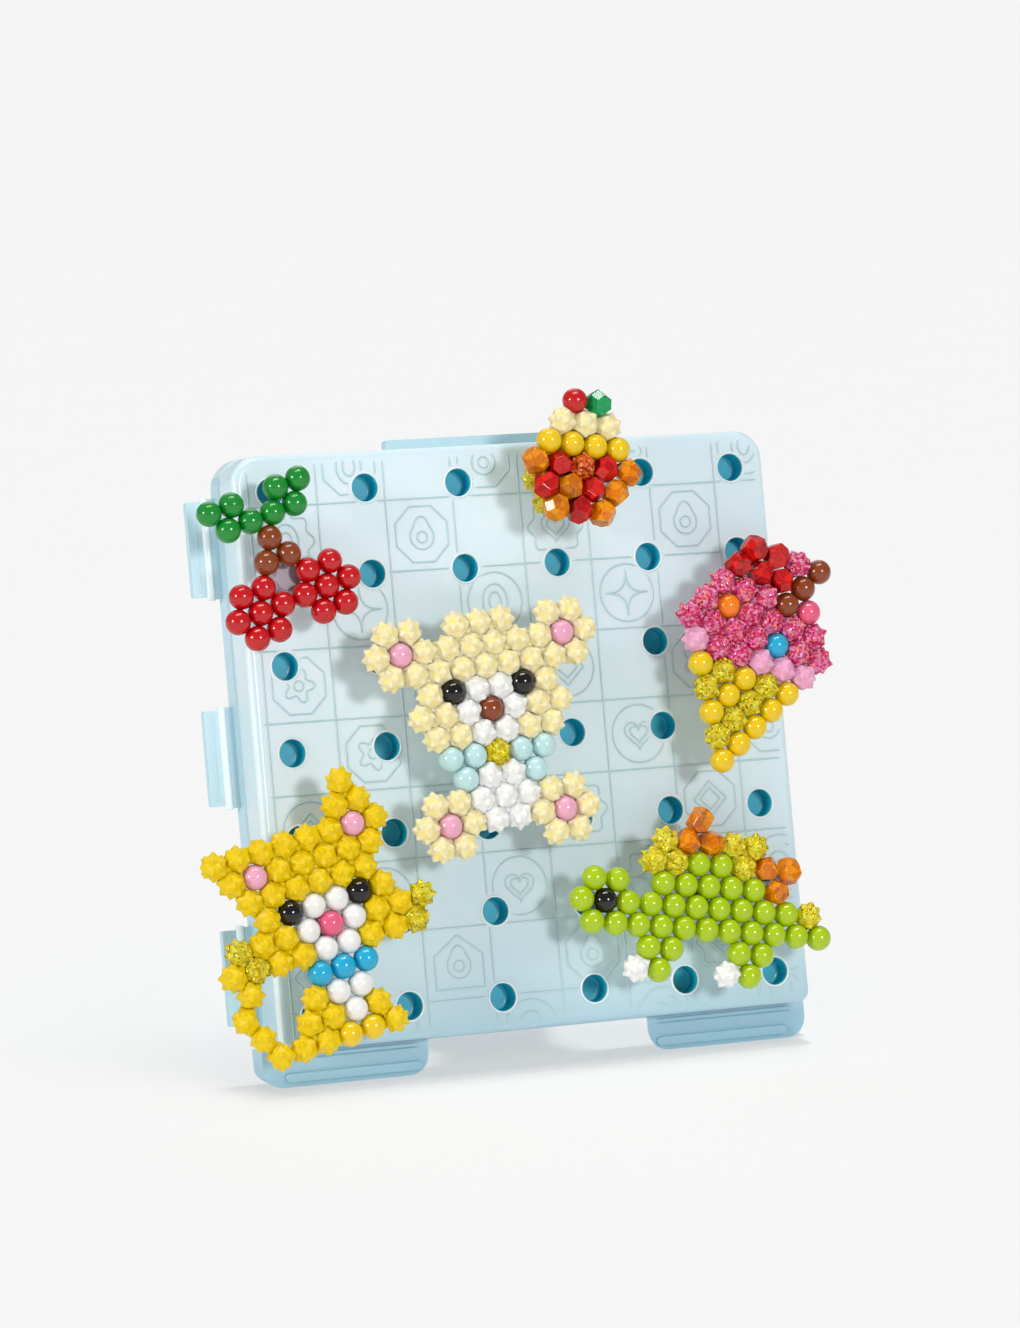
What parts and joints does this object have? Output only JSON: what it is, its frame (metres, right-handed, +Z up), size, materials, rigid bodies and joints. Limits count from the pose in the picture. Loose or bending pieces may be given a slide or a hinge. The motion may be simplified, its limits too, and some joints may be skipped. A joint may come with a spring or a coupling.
{
  "type": "bead art display board",
  "caption": "Leaning aqua peg board on a folding prop leg, showing flat fused-bead figures that swivel on pull-out pegs.",
  "frame": {"origin": "centre of the bounding box at the ground", "axes": "+Z up, the board faces -Y and leans back towards +Y, +X is the viewer's right"},
  "size_m": [0.14, 0.072, 0.1342],
  "materials": {
    "board": "glossy pale aqua, finely embossed",
    "cover": "satin dark teal",
    "pin_metal": "bright",
    "peg_plastic": "smooth grey-lilac",
    "green": "glossy",
    "brown": "glossy",
    "red": "glossy",
    "cream": "satin",
    "black": "glossy",
    "white": "satin",
    "amber": "translucent with glitter",
    "ice_blue": "glossy",
    "yellow": "satin",
    "hot_pink": "glossy",
    "blue": "glossy",
    "lime": "glossy",
    "orange": "translucent",
    "magenta": "translucent with glitter",
    "pale_pink": "satin"
  },
  "bodies": {
    "board": {"front_shell": "board", "rear_cover": "cover", "hinge_pin": "pin_metal"},
    "leg": {"easel_leg": "board"},
    "cherries_peg": {"peg_cherries": "peg_plastic"},
    "cherries_figure": {"hub_cherries": "peg_plastic", "cherries_fruit": "red", "cherries_leaves": "green", "cherries_stem": "brown"},
    "bear_peg": {"peg_bear": "peg_plastic"},
    "bear_figure": {"hub_bear": "peg_plastic", "bear_bow_knot": "amber", "bear_bow_left": "ice_blue", "bear_bow_right": "ice_blue", "bear_eye_left": "black", "bear_eye_right": "black", "bear_head": "cream", "bear_muzzle": "white", "bear_nose": "brown", "bear_paw_left": "cream", "bear_paw_right": "cream", "bear_tummy": "white"},
    "cat_peg": {"peg_cat": "peg_plastic"},
    "cat_figure": {"hub_cat": "peg_plastic", "cat_belly": "white", "cat_collar": "blue", "cat_eye_left": "black", "cat_eye_right": "black", "cat_fur": "yellow", "cat_muzzle": "white", "cat_nose": "hot_pink"},
    "dinosaur_peg": {"peg_dinosaur": "peg_plastic"},
    "dinosaur_figure": {"hub_dinosaur": "peg_plastic", "dinosaur_body": "lime", "dinosaur_claw_front": "white", "dinosaur_claw_rear": "white", "dinosaur_crest_front": "orange", "dinosaur_crest_rear": "orange", "dinosaur_eye": "black", "dinosaur_tail_tip": "amber"},
    "cupcake_peg": {"peg_cupcake": "peg_plastic"},
    "cupcake_figure": {"hub_cupcake": "peg_plastic", "cupcake_case": "orange", "cupcake_cherry": "red", "cupcake_cream": "cream", "cupcake_jewel": "green", "cupcake_rear_layer": "amber", "cupcake_sponge": "yellow"},
    "icecream_peg": {"peg_icecream": "peg_plastic"},
    "icecream_figure": {"hub_icecream": "peg_plastic", "icecream_candy": "hot_pink", "icecream_cone": "yellow", "icecream_icing": "pale_pink", "icecream_jewels": "red", "icecream_scoop": "magenta", "icecream_star": "magenta", "icecream_wafer": "brown"}
  },
  "joints": [
    {"name": "leg_fold", "type": "hinge", "parent": "board", "child": "leg", "pos_m": [0.00546, 0.01182, 0.087], "axis": [1, 0, 0], "range_deg": [-26, 0]},
    {"name": "cherries_pull", "type": "slide", "parent": "board", "child": "cherries_peg", "axis": [0, -0.9763, 0.2164], "range_m": [0, 0.012]},
    {"name": "cherries_swivel", "type": "hinge", "parent": "cherries_peg", "child": "cherries_figure", "pos_m": [-0.04454, -0.00155, 0.09831], "axis": [0, -0.9763, 0.2164], "range_deg": [-30, 30]},
    {"name": "bear_pull", "type": "slide", "parent": "board", "child": "bear_peg", "axis": [0, -0.9763, 0.2164], "range_m": [0, 0.012]},
    {"name": "bear_swivel", "type": "hinge", "parent": "bear_peg", "child": "bear_figure", "pos_m": [-0.00454, -0.00894, 0.06497], "axis": [0, -0.9763, 0.2164], "range_deg": [-8, 8]},
    {"name": "cat_pull", "type": "slide", "parent": "board", "child": "cat_peg", "axis": [0, -0.9763, 0.2164], "range_m": [0, 0.012]},
    {"name": "cat_swivel", "type": "hinge", "parent": "cat_peg", "child": "cat_figure", "pos_m": [-0.04454, -0.01633, 0.03164], "axis": [0, -0.9763, 0.2164], "range_deg": [-8, 8]},
    {"name": "dinosaur_pull", "type": "slide", "parent": "board", "child": "dinosaur_peg", "axis": [0, -0.9763, 0.2164], "range_m": [0, 0.012]},
    {"name": "dinosaur_swivel", "type": "hinge", "parent": "dinosaur_peg", "child": "dinosaur_figure", "pos_m": [0.03546, -0.01633, 0.03164], "axis": [0, -0.9763, 0.2164], "range_deg": [-12, 12]},
    {"name": "cupcake_pull", "type": "slide", "parent": "board", "child": "cupcake_peg", "axis": [0, -0.9763, 0.2164], "range_m": [0, 0.012]},
    {"name": "cupcake_swivel", "type": "hinge", "parent": "cupcake_peg", "child": "cupcake_figure", "pos_m": [0.01546, 0.00215, 0.11497], "axis": [0, -0.9763, 0.2164], "range_deg": [-30, 30]},
    {"name": "icecream_pull", "type": "slide", "parent": "board", "child": "icecream_peg", "axis": [0, -0.9763, 0.2164], "range_m": [0, 0.012]},
    {"name": "icecream_swivel", "type": "hinge", "parent": "icecream_peg", "child": "icecream_figure", "pos_m": [0.05546, -0.00524, 0.08164], "axis": [0, -0.9763, 0.2164], "range_deg": [-30, 30]}
  ]
}
